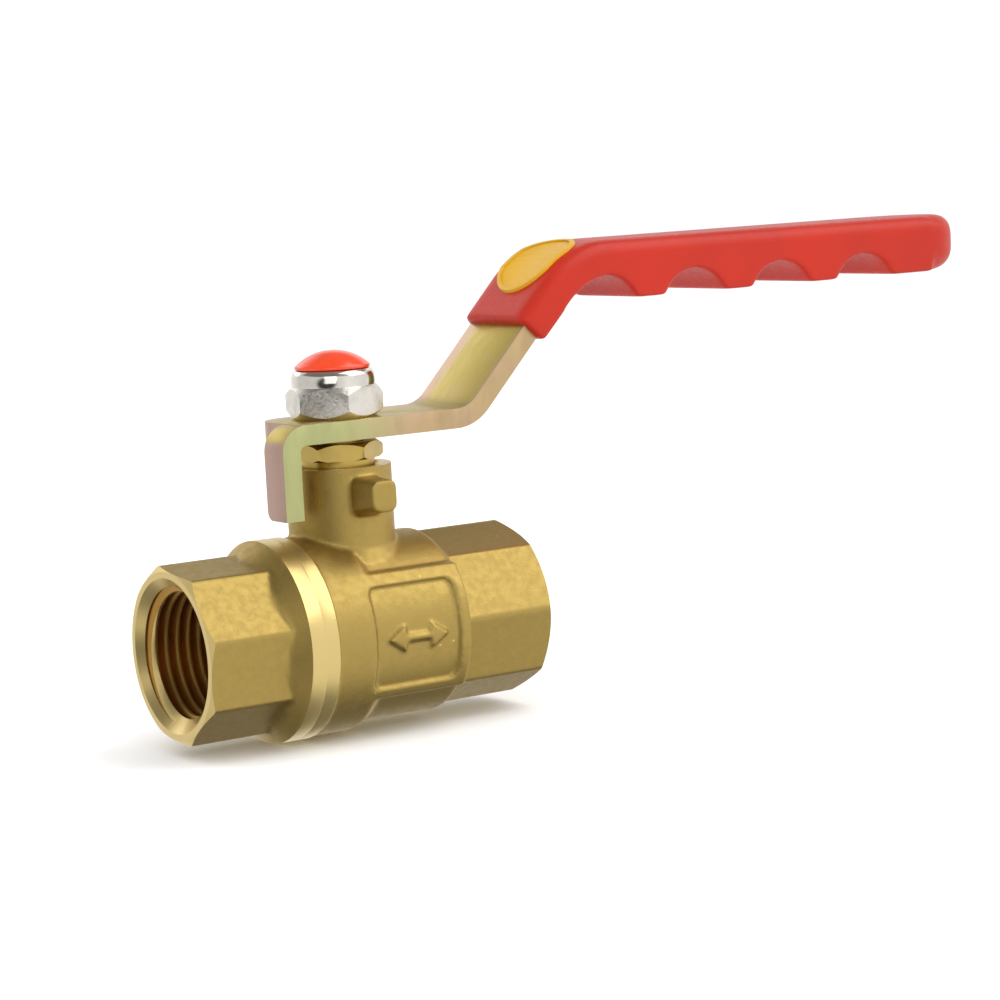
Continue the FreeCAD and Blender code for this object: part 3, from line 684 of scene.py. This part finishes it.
def lever_strip(half_width, above, below, end, start=-HUB_BACK, from_slope=None, steps=14):
    """The lever's bent bar: a section drawn along the hub, the slope and the handle.

    above and below are measured from the top face of the steel. from_slope, if given, is
    the distance up the slope, from the corner where it meets the hub, at which the bar begins.
    """
    bm = bmesh.new()
    a = SLOPE_ANGLE
    lower_cut = LOWER_BEND * math.tan(a / 2)
    upper_cut = UPPER_BEND * math.tan(a / 2)
    slope_length = (GRIP_LEVEL - HUB_TOP) / math.sin(a)
    along_slope = Vector((math.cos(a), 0, math.sin(a)))
    section = [(start, -half_width, above), (start, half_width, above),
               (start, half_width, -below), (start, -half_width, -below)]
    if from_slope is None:
        place = Matrix.Translation((STEM_X, 0, HUB_TOP))
        face = bm.faces.new([bm.verts.new(place @ Vector(p)) for p in section])
        face = push(bm, face, (SLOPE_X - lower_cut - start, 0, 0))
        centre = (STEM_X + SLOPE_X - lower_cut, 0, HUB_TOP + LOWER_BEND)
        turned_geom = bmesh.ops.spin(bm, geom=[face], cent=centre, axis=-AXIS_Y, angle=a, steps=steps,
                                     use_merge=False)["geom_last"]
        face = next(g for g in turned_geom if isinstance(g, bmesh.types.BMFace))
        run = slope_length - lower_cut - upper_cut
    else:
        corner = Vector((STEM_X + SLOPE_X, 0, HUB_TOP))
        place = Matrix.Translation(corner + along_slope * from_slope) @ Matrix.Rotation(-a, 4, "Y")
        face = bm.faces.new([bm.verts.new(place @ Vector((0, p[1], p[2]))) for p in section])
        run = slope_length - from_slope - upper_cut
    face = push(bm, face, along_slope * run)
    centre = (STEM_X + SLOPE_TOP_X + upper_cut, 0, GRIP_LEVEL - UPPER_BEND)
    turned_geom = bmesh.ops.spin(bm, geom=[face], cent=centre, axis=AXIS_Y, angle=a, steps=steps,
                                 use_merge=False)["geom_last"]
    face = next(g for g in turned_geom if isinstance(g, bmesh.types.BMFace))
    push(bm, face, (end - SLOPE_TOP_X - upper_cut, 0, 0))
    close_skin(bm)
    return bm


def upright_edges(bm, x, y_sign):
    """The upright edges of a bar's end at x, on the near (-1) or far (+1) side."""
    return [e for e in bm.edges
            if all(abs(v.co.x - x) < 0.01 and v.co.y * y_sign > 0.01 for v in e.verts)
            and abs(e.verts[0].co.z - e.verts[1].co.z) > 0.5]


def long_edges(bm, half, lowest, highest):
    """Edges along a bar's two sides whose other face points between two upward slopes."""
    found = []
    for e in bm.edges:
        if len(e.link_faces) != 2 or any(abs(abs(v.co.y) - half) > 0.01 for v in e.verts):
            continue
        side, other = sorted(e.link_faces, key=lambda f: -abs(f.normal.y))
        if abs(side.normal.y) > 0.9 and abs(other.normal.y) < 0.1 and lowest < other.normal.z < highest:
            found.append(e)
    return found


def lever():
    """Steel lever: hub on the stem's flats, stop tab and ear bent down, cranked handle."""
    half = LEVER_WIDTH / 2
    bm = lever_strip(half, 0, PLATE, LEVER_END)
    round_edges(bm, upright_edges(bm, STEM_X - HUB_BACK, 1), HUB_CORNER, 10)
    for side in (-1, 1):
        round_edges(bm, upright_edges(bm, STEM_X + LEVER_END, side), half - 0.6, 12)

    tab = bmesh.new()
    outer = STEM_X - TAB_OUTER
    y = (-half, -half + TAB_WIDTH)
    face = tab.faces.new([tab.verts.new(p) for p in (
        (outer, y[0], TAB_BOTTOM), (outer + PLATE, y[0], TAB_BOTTOM),
        (outer + PLATE, y[1], TAB_BOTTOM), (outer, y[1], TAB_BOTTOM))])
    face = push(tab, face, (0, 0, HUB_TOP - TAB_BEND - TAB_BOTTOM))
    bent = bmesh.ops.spin(tab, geom=[face], cent=(outer + TAB_BEND, 0, HUB_TOP - TAB_BEND),
                          axis=AXIS_Y, angle=math.pi / 2, steps=12, use_merge=False)["geom_last"]
    face = next(g for g in bent if isinstance(g, bmesh.types.BMFace))
    push(tab, face, (3.0, 0, 0))
    close_skin(tab)
    foot = [e for e in tab.edges if all(abs(v.co.z - TAB_BOTTOM) < 0.01 and v.co.y > y[1] - 0.01
                                        for v in e.verts)]
    round_edges(tab, foot, 1.4, 6)

    ear_x = (STEM_X + 2.4, STEM_X + 6.4)
    ear_y = (8.4, 8.4 + PLATE)
    ear_top = block(ear_x, (half - 0.5, ear_y[1]), (HUB_TOP - PLATE, HUB_TOP))
    round_edges(ear_top, [e for e in ear_top.edges
                          if all(v.co.y > ear_y[1] - 0.01 and v.co.z > HUB_TOP - 0.01 for v in e.verts)],
                2.4, 6)
    ear = block(ear_x, ear_y, (19.5, HUB_TOP - PLATE + 0.01))
    hole = turned([(HUB_TOP - PLATE - 1, 4.02), (HUB_TOP + 1, 4.02)], AXIS_Z, STEM)
    hole, _ = carve(hole, [("INTERSECT",
                            block((STEM_X - 9, STEM_X + 9), (-3.02, 3.02), (0, 99)), None)])
    bm, _ = carve(bm, [("UNION", tab, None), ("UNION", ear_top, None), ("UNION", ear, None),
                       ("DIFFERENCE", hole, None)])
    bmesh.ops.remove_doubles(bm, verts=bm.verts, dist=0.002)
    bmesh.ops.dissolve_limit(bm, angle_limit=math.radians(0.5), verts=bm.verts, edges=bm.edges)
    round_edges(bm, sharp_edges(bm, 35), sizes().lever_edge / MM, 3)
    return bm


def lever_grip():
    """Dipped sleeve over the handle, with finger scallops across its underside."""
    half = LEVER_WIDTH / 2 + 1.3
    start = (30.0 - SLOPE_X) / math.cos(SLOPE_ANGLE)
    above, below = 1.6, PLATE + 0.9
    end = GRIP_END
    bm = lever_strip(half, above, below, end, from_slope=start, steps=18)
    bm.normal_update()
    round_edges(bm, long_edges(bm, half, 0.3, 1.1), 2.2, 5)
    floor = GRIP_LEVEL - below
    drop = sizes().scallop_depth / MM
    skirt = block((STEM_X + SLOPE_TOP_X + 1.6, STEM_X + end), (-half, half), (floor - drop, floor + 1))
    pitch, first, count = 17.6, 45.0, 4
    reach = pitch * 0.34
    radius = (reach ** 2 + drop ** 2) / (2 * drop)
    steps = []
    for k in range(count):
        x = STEM_X + first + k * pitch
        groove = turned([(-20, radius), (20, radius)], AXIS_Y, Vector((x, 0, floor - radius)), 96)
        steps.append(("DIFFERENCE", groove, None))
    skirt, _ = carve(skirt, steps)
    skirt.normal_update()
    round_edges(skirt, long_edges(skirt, half, -1.1, 0.5), 2.4, 4)
    low, high = floor - drop, GRIP_LEVEL + above
    quarter = [math.pi / 2 * k / 8 for k in range(9)]
    rim = [(low + TIP_LOW_R * (1 - math.cos(t)), half - TIP_LOW_R * (1 - math.sin(t))) for t in quarter]
    rim += [(high - TIP_TOP_R * (1 - math.sin(t)),
             half - TIP_TOP_R * (1 - math.cos(t))) for t in quarter]
    knob = turned(rim, AXIS_Z, Vector((STEM_X + end - half, 0, 0)))
    plan, _ = carve(block((STEM_X, STEM_X + end - half), (-half, half), (0, 99)),
                    [("UNION", knob, None)])
    bm, _ = carve(bm, [("UNION", skirt, None), ("INTERSECT", plan, None)])
    bm = soften(bm, 0.4, 20)
    steel = lever_strip(LEVER_WIDTH / 2, 0, PLATE, LEVER_END)
    for side in (-1, 1):
        round_edges(steel, upright_edges(steel, STEM_X + LEVER_END, side), LEVER_WIDTH / 2 - 0.6, 12)
    bm, _ = carve(bm, [("DIFFERENCE", steel, None)])
    return bm


def grip_badge():
    """Oval badge with a raised rim, let into the sleeve over the upper bend."""
    bend_x = STEM_X + SLOPE_TOP_X + UPPER_BEND * math.tan(SLOPE_ANGLE / 2)
    top = Vector((bend_x, 0, GRIP_LEVEL - UPPER_BEND)) + UPPER_BEND * Vector((-math.sin(BADGE_TILT), 0,
                                                                          math.cos(BADGE_TILT)))
    place = Matrix.Translation(top) @ Matrix.Rotation(-BADGE_TILT, 4, "Y")
    size = Matrix.Diagonal((7.0, 6.6, 1.0, 1.0))
    column = bmesh.new()
    bmesh.ops.create_cone(column, cap_ends=True, segments=72, radius1=1, radius2=1, depth=20,
                          matrix=place @ size)
    layer = lever_strip(6.2, 2.1, -0.8, GRIP_END - 5, from_slope=12.0, steps=40)
    bm, _ = carve(column, [("INTERSECT", layer, None)])
    inner = bmesh.new()
    bmesh.ops.create_cone(inner, cap_ends=True, segments=72, radius1=1, radius2=1, depth=20,
                          matrix=place @ Matrix.Diagonal((6.3, 5.9, 1.0, 1.0)))
    above = lever_strip(5.5, 4.0, -1.8, GRIP_END - 5, from_slope=12.0, steps=40)
    inner, _ = carve(inner, [("INTERSECT", above, None)])
    bm, _ = carve(bm, [("DIFFERENCE", inner, None)])
    round_edges(bm, sharp_edges(bm, 50), 0.12, 2)
    return bm


def handle_nut():
    """Locking nut's chamfered hexagon, returned with the height of its top; the smooth rounded collar is made by
    nut_collar.
    """
    z0 = HUB_TOP
    z1 = z0 + 5.0
    half = 6.5
    corner = half / math.cos(math.pi / 6)
    bm = hex_bar(2 * half, z0, z1, NUT_TURN)
    rounding = turned([(z0, half - 0.4), (z0 + 0.45, half + 0.1), (z0 + 1.3, corner),
                       (z1 - 1.4, corner),
                       (z1 - 0.4, half), (z1, half - 0.5)], AXIS_Z, STEM)
    bm, _ = carve(bm, [("INTERSECT", rounding, None)])
    return bm, z1


def nut_collar(z1):
    """The nut's round collar, rolled in over the locking ring."""
    top = corner_mm("handle_nut", 1).z
    return turned([(z1 - 0.6, 6.2), (z1, 6.3), (z1 + 0.5, 6.33), (z1 + 1.3, 6.25), (z1 + 1.75, 6.1),
                   (z1 + 2.1, 5.85), (z1 + 2.3, 5.5), (top, 5.2)], AXIS_Z, STEM)


def nut_cap():
    """Domed cap pressed into the nut's collar."""
    top = corner_mm("nut_cap", 1).z
    rim_z, r = corner_mm("handle_nut", 1).z, 5.7
    rise = top - rim_z - 0.35
    dome_r = (r ** 2 + rise ** 2) / (2 * rise)
    reach = math.asin(r / dome_r)
    dome = [(top - dome_r + dome_r * math.cos(reach * (1 - k / 16)),
             dome_r * math.sin(reach * (1 - k / 16)))
            for k in range(16)]
    low = corner_mm("nut_cap", 0).z
    return turned([(low, 5.18), (rim_z, 5.18), (rim_z, r - 0.08), (rim_z + 0.12, r)] + dome,
                  AXIS_Z, STEM)


# ==== sizes and colours a user may change =======================================================

def colour_property(name, description, default):
    return bpy.props.FloatVectorProperty(name=name, description=description, subtype="COLOR",
                                         size=3, min=0.0, max=1.0, default=default)


def size_property(name, description, millimetres):
    return bpy.props.FloatProperty(name=name, description=description, subtype="DISTANCE",
                                   unit="LENGTH", min=0.0, precision=5, default=millimetres * MM)


class ValveSizes(bpy.types.PropertyGroup):
    grain: size_property("Casting grain", "Size of the faces that cast surfaces are made of", 0.3)
    thread_pitch: size_property("Thread pitch", "Distance between the pipe threads", 25.4 / 14)
    thread_depth: size_property("Thread depth", "Depth of the pipe threads", 1.16)
    lever_edge: size_property("Lever edge", "Rounding of the lever's edges", 0.28)
    scallop_depth: size_property("Scallop depth", "Depth of the grip's finger scallops", 3.8)


class ValveColours(bpy.types.PropertyGroup):
    brass: colour_property("Brass", "Colour of the cast brass", (0.92, 0.65, 0.19))
    turned: colour_property("Turned brass", "Colour of the machined brass", (0.95, 0.66, 0.30))
    zinc: colour_property("Zinc", "Main colour of the passivated lever", (0.56, 0.43, 0.10))
    zinc_pink: colour_property("Zinc edges", "Pink film along the lever's edges", (0.66, 0.44, 0.36))
    zinc_green: colour_property("Zinc green", "Green film by the stop tab", (0.52, 0.53, 0.24))
    grip: colour_property("Grip", "Colour of the dipped grip", (0.43, 0.015, 0.003))
    badge: colour_property("Badge", "Colour of the oval badge", (0.60, 0.33, 0.01))
    cap: colour_property("Cap", "Colour of the nut's cap", (0.72, 0.05, 0.008))
    nickel: colour_property("Nickel", "Colour of the plated nut", (0.80, 0.76, 0.69))


class StudioSettings(bpy.types.PropertyGroup):
    floor: colour_property("Floor", "Colour of the studio floor", (0.97, 0.97, 0.97))
    azimuth: bpy.props.FloatProperty(name="Azimuth", description="Camera's turn about the valve",
                                     subtype="ANGLE", default=math.radians(-33.321))
    elevation: bpy.props.FloatProperty(name="Elevation", description="Camera's angle above level",
                                       subtype="ANGLE", default=math.radians(6.908))
    roll: bpy.props.FloatProperty(name="Roll", description="Camera's tilt about its own line of sight",
                                  subtype="ANGLE", default=math.radians(-3.014))
    distance: bpy.props.FloatProperty(name="Distance", description="Camera to the point it looks at",
                                      subtype="DISTANCE", unit="LENGTH", default=0.452864)
    lens: bpy.props.FloatProperty(name="Lens", description="Focal length", subtype="DISTANCE_CAMERA",
                                  unit="CAMERA", default=104.4)


# ==== operators =================================================================================

def sizes():
    return bpy.context.scene.valve_sizes


def colours():
    return bpy.context.scene.valve_colours


def rgba(colour):
    return (colour[0], colour[1], colour[2], 1.0)


def material(name, make):
    """The named material, made the first time it is asked for."""
    return bpy.data.materials.get(name) or make()


def cast_and_turned():
    cast = material("sand_blasted_brass", lambda: sand_blasted_brass(colours().brass))
    machined = material("turned_brass", lambda: turned_brass("turned_brass", colours().turned, 0.3))
    threaded = material("threaded_brass",
                            lambda: turned_brass("threaded_brass", (0.50, 0.27, 0.06), 0.34))
    return cast, machined, threaded


class VALVE_OT_end_cap(bpy.types.Operator):
    """Builds the inlet half of the valve"""
    bl_idname = "valve.end_cap"
    bl_label = "End cap"

    def execute(self, context):
        bm, materials = end_cap(*cast_and_turned())
        piece = finish_mesh(bm, "end_cap_casting")
        dress(piece, "housing", ["end_cap"], "cast_brass", *materials)
        return {"FINISHED"}


class VALVE_OT_body(bpy.types.Operator):
    """Builds the body with its neck, lugs, side frames and outlet"""
    bl_idname = "valve.body"
    bl_label = "Body"

    def execute(self, context):
        bm, materials = valve_body(*cast_and_turned())
        piece = finish_mesh(bm, "valve_body_casting")
        dress(piece, "housing", ["valve_body"], "cast_brass", *materials)
        return {"FINISHED"}


class VALVE_OT_gland_nut(bpy.types.Operator):
    """Builds the hexagonal gland nut in the neck"""
    bl_idname = "valve.gland_nut"
    bl_label = "Gland nut"

    def execute(self, context):
        brass = material("gland_brass", lambda: turned_brass("gland_brass", (0.56, 0.40, 0.11), 0.32))
        dress(finish_mesh(gland_nut(), "gland_hex_nut"), "housing", ["gland_nut"], "turned_brass",
              brass)
        return {"FINISHED"}


class VALVE_OT_lever(bpy.types.Operator):
    """Builds the bent steel lever"""
    bl_idname = "valve.lever"
    bl_label = "Lever"

    def execute(self, context):
        c = colours()
        zinc = passivated_zinc(rgba(c.zinc), rgba(c.zinc_pink), rgba(c.zinc_green))
        dress(finish_mesh(lever(), "bent_lever"), "handle", ["lever"], "passivated_steel", zinc)
        return {"FINISHED"}


class VALVE_OT_grip(bpy.types.Operator):
    """Builds the scalloped sleeve and its oval badge"""
    bl_idname = "valve.grip"
    bl_label = "Grip and badge"

    def execute(self, context):
        c = colours()
        vinyl = soft_vinyl("red_vinyl", c.grip)
        dress(finish_mesh(lever_grip(), "scalloped_grip", 60), "handle", ["lever_grip"],
              "red_vinyl", vinyl)
        yellow = soft_vinyl("yellow_vinyl", c.badge, 0.008)
        dress(finish_mesh(grip_badge(), "oval_badge"), "handle", ["grip_badge"], "yellow_plastic",
              yellow)
        return {"FINISHED"}


class VALVE_OT_handle_nut(bpy.types.Operator):
    """Builds the locking nut, its collar and the domed cap"""
    bl_idname = "valve.handle_nut"
    bl_label = "Handle nut and cap"

    def execute(self, context):
        c = colours()
        rough = nickel_plate("forged_nickel", rgba(c.nickel), 0.26, 0.46, 0.5, 0.05)
        bright = nickel_plate("bright_nickel", rgba(c.nickel), 0.1, 0.2, 1.2, 0.012)
        hexagon, z1 = handle_nut()
        bore = turned([(HUB_TOP - 1, 4.02), (corner_mm("handle_nut", 1).z + 1, 4.02)], AXIS_Z, STEM)
        seat = turned([(z1, 5.2), (z1 + 4, 5.2)], AXIS_Z, STEM)
        bm, materials = carve(hexagon, [("UNION", nut_collar(z1), bright), ("DIFFERENCE", bore, rough),
                                        ("DIFFERENCE", seat, rough)], [rough, bright])
        dress(finish_mesh(bm, "locking_nut", 38), "handle", ["handle_nut"], "plated_nut", *materials)
        red = gloss_plastic("red_plastic", c.cap, 0.22)
        dress(finish_mesh(nut_cap(), "domed_cap", 50), "handle", ["nut_cap"], "red_plastic", red)
        return {"FINISHED"}


class VALVE_OT_inner_parts(bpy.types.Operator):
    """Gives the ball, seats, seals, stem and packing their materials"""
    bl_idname = "valve.inner_parts"
    bl_label = "Inner parts"

    def execute(self, context):
        ptfe, rubber = waxy_ptfe(), seal_rubber()
        stem_brass = turned_brass("stem_brass", (0.66, 0.47, 0.13), 0.26)
        finishes = {
            "ball": polished_chrome(), "stem": stem_brass, "packing_follower": stem_brass,
            "nut_lock_ring": matte_nylon(), "lower_o_ring": rubber, "upper_o_ring": rubber,
            "joint_seal": ptfe, "inlet_seat": ptfe, "outlet_seat": ptfe, "thrust_washer": ptfe,
            "lower_packing_ring": ptfe, "upper_packing_ring": ptfe,
        }
        for node, finish in finishes.items():
            slots = frame["nodes"][node].material_slots
            if not slots:
                raise RuntimeError(f"{node} has no material slot")
            for slot in slots:
                slot.material = finish
        return {"FINISHED"}


def softbox(name, place, aim, width, height, power, tint=(1.0, 1.0, 1.0)):
    """A soft rectangular light at a place, facing a point, both in metres."""
    lamp = bpy.data.lights.new(name, "AREA")
    lamp.shape = "RECTANGLE"
    lamp.size, lamp.size_y = width, height
    lamp.energy = power
    lamp.color = tint
    light = bpy.data.objects.new(name, lamp)
    light.location = place
    light.rotation_euler = (Vector(aim) - Vector(place)).to_track_quat("-Z", "Y").to_euler()
    bpy.context.scene.collection.objects.link(light)


DARK_SIDE = (-0.75, -0.66, -0.05)


def studio_air():
    """White surroundings; polished metal sees a bright horizon under a darker ceiling."""
    world = bpy.data.worlds.new("studio_air")
    world.use_nodes = True
    tree = world.node_tree
    nodes, links = tree.nodes, tree.links
    facing = nodes.new("ShaderNodeTexCoord")
    split = nodes.new("ShaderNodeSeparateXYZ")
    links.new(facing.outputs["Generated"], split.inputs[0])
    levels = []
    for axis, numbers in ((2, (0.46, 0.62, 1.0, 0.22)), (2, (-0.85, -0.6, 0.15, 1.0)),
                          (0, (-0.8, 0.0, 0.75, 1.0))):
        ramp = nodes.new("ShaderNodeMapRange")
        ramp.interpolation_type = "SMOOTHSTEP"
        for name, number in zip(("From Min", "From Max", "To Min", "To Max"), numbers):
            ramp.inputs[name].default_value = number
        links.new(split.outputs[axis], ramp.inputs["Value"])
        levels.append(ramp.outputs["Result"])
    toward = nodes.new("ShaderNodeVectorMath")
    toward.operation = "DOT_PRODUCT"
    toward.inputs[1].default_value = DARK_SIDE
    links.new(facing.outputs["Generated"], toward.inputs[0])
    ramp = nodes.new("ShaderNodeMapRange")
    ramp.interpolation_type = "SMOOTHSTEP"
    for name, number in zip(("From Min", "From Max", "To Min", "To Max"), (0.84, 0.95, 1.0, 0.05)):
        ramp.inputs[name].default_value = number
    links.new(toward.outputs["Value"], ramp.inputs["Value"])
    levels.append(ramp.outputs["Result"])
    for level in levels[1:]:
        product = nodes.new("ShaderNodeMath")
        product.operation = "MULTIPLY"
        links.new(levels[0], product.inputs[0])
        links.new(level, product.inputs[1])
        levels[0] = product.outputs[0]
    seen = nodes.new("ShaderNodeLightPath")
    mix = nodes.new("ShaderNodeMix")
    mix.data_type = "FLOAT"
    mix.inputs[2].default_value = 1.08
    links.new(seen.outputs["Is Glossy Ray"], mix.inputs[0])
    links.new(levels[0], mix.inputs[3])
    links.new(mix.outputs[0], nodes["Background"].inputs["Strength"])
    nodes["Background"].inputs["Color"].default_value = (1, 1, 1, 1)
    return world


class VALVE_OT_studio(bpy.types.Operator):
    """Builds the pale floor, the soft lights and the camera"""
    bl_idname = "valve.studio"
    bl_label = "Studio"

    def execute(self, context):
        settings = context.scene.studio_settings
        floor_bm = bmesh.new()
        bmesh.ops.create_grid(floor_bm, x_segments=1, y_segments=1, size=6000,
                              matrix=Matrix.Translation((STEM_X, 0, LOWEST)))
        floor = finish_mesh(floor_bm, "studio_floor")
        pale = Recipe("pale_floor").set(Roughness=0.9, Specular_IOR_Level=0.1)
        pale.shader.inputs["Base Color"].default_value = rgba(settings.floor)
        floor.data.materials.append(pale.material)
        floor.visible_glossy = False

        middle = Vector((STEM_X * MM + 0.03, 0, 0.02))
        softbox("key", middle + Vector((0.48, -0.42, 0.77)) * 0.8, middle, 0.7, 0.7, 3.4)
        softbox("fill", middle + Vector((-0.6, -0.75, 0.3)) * 0.9, middle, 0.5, 0.6, 1.2)
        softbox("back", middle + Vector((-0.15, 0.83, 0.54)) * 0.9, middle, 0.6, 0.5, 0.6)
        context.scene.world = studio_air()
        context.scene.view_settings.view_transform = "Standard"

        lens = bpy.data.cameras.new("studio_camera")
        lens.sensor_width = 36.0
        lens.lens = settings.lens
        lens.clip_start, lens.clip_end = 0.01, 50.0
        camera = bpy.data.objects.new("studio_camera", lens)
        a, e = settings.azimuth, settings.elevation
        back = Vector((math.sin(a) * math.cos(e), -math.cos(a) * math.cos(e), math.sin(e)))
        right = Vector((math.cos(a), math.sin(a), 0))
        up = back.cross(right)
        turn = Matrix((right, up, back)).transposed() @ Matrix.Rotation(settings.roll, 3, "Z")
        target = Vector((STEM_X + 28.783, 0, 16.514)) * MM
        camera.matrix_world = Matrix.Translation(target + back * settings.distance) @ turn.to_4x4()
        bpy.context.scene.collection.objects.link(camera)
        context.scene.camera = camera
        return {"FINISHED"}


class VALVE_PT_panel(bpy.types.Panel):
    """Lists the steps that build the valve, with their colours"""
    bl_idname = "VALVE_PT_panel"
    bl_label = "Ball Valve"
    bl_space_type = "VIEW_3D"
    bl_region_type = "UI"
    bl_category = "Ball Valve"

    def draw(self, context):
        layout = self.layout
        for operator in OPERATORS:
            layout.operator(operator.bl_idname)
        for name in ValveSizes.__annotations__:
            layout.prop(context.scene.valve_sizes, name)
        for name in ValveColours.__annotations__:
            layout.prop(context.scene.valve_colours, name)
        for name in StudioSettings.__annotations__:
            layout.prop(context.scene.studio_settings, name)


OPERATORS = (VALVE_OT_end_cap, VALVE_OT_body, VALVE_OT_gland_nut, VALVE_OT_lever, VALVE_OT_grip,
             VALVE_OT_handle_nut, VALVE_OT_inner_parts, VALVE_OT_studio)
CLASSES = (ValveSizes, ValveColours, StudioSettings, *OPERATORS, VALVE_PT_panel)


def register():
    for cls in CLASSES:
        bpy.utils.register_class(cls)
    bpy.types.Scene.valve_sizes = bpy.props.PointerProperty(type=ValveSizes)
    bpy.types.Scene.valve_colours = bpy.props.PointerProperty(type=ValveColours)
    bpy.types.Scene.studio_settings = bpy.props.PointerProperty(type=StudioSettings)


def unregister():
    del bpy.types.Scene.studio_settings
    del bpy.types.Scene.valve_colours
    del bpy.types.Scene.valve_sizes
    for cls in reversed(CLASSES):
        bpy.utils.unregister_class(cls)


def main():
    register()
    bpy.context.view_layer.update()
    bpy.ops.valve.end_cap()
    bpy.ops.valve.body()
    bpy.ops.valve.gland_nut()
    bpy.ops.valve.lever()
    bpy.ops.valve.grip()
    bpy.ops.valve.handle_nut()
    bpy.ops.valve.inner_parts()
    bpy.ops.valve.studio()


if __name__ == "__main__":
    main()
